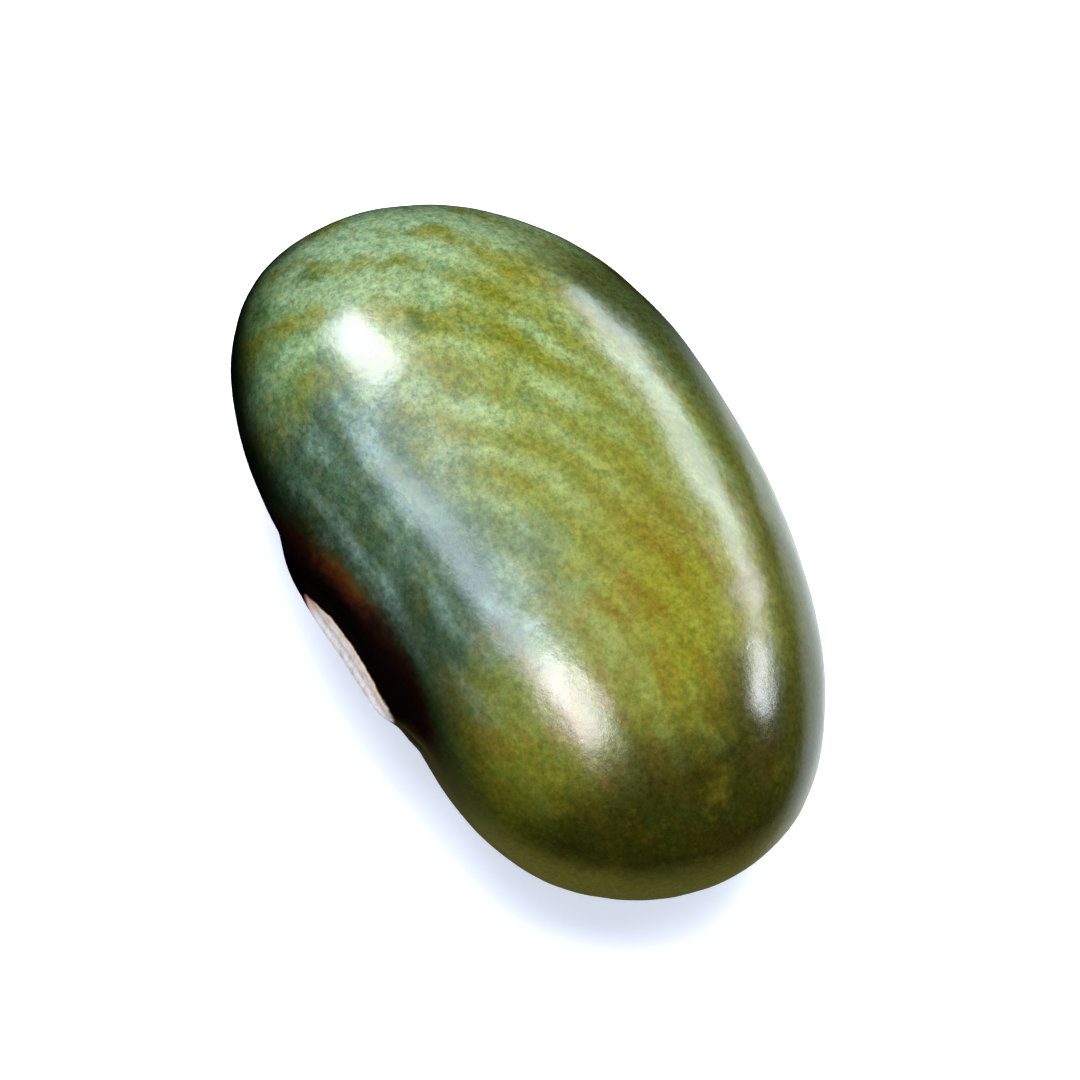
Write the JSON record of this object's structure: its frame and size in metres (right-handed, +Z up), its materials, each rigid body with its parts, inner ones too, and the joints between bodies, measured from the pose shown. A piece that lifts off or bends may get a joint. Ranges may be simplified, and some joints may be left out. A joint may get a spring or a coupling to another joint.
{
  "type": "green kidney bean seed",
  "caption": "Dry kidney-shaped bean seed with a glossy mottled green coat, and a pale oval scar in a dark ring on its hollowed side.",
  "frame": {"origin": "on the level surface that the seed lies on, under the middle of its box", "axes": "+X along the seed, -Y out of the hollowed belly with the scar, +Z up out of the flatter side it doesn't lie on"},
  "size_m": [0.0154, 0.0094, 0.0068],
  "materials": {
    "seed_coat": "satin"
  },
  "bodies": {
    "root": {"bean": "seed_coat"}
  },
  "joints": []
}
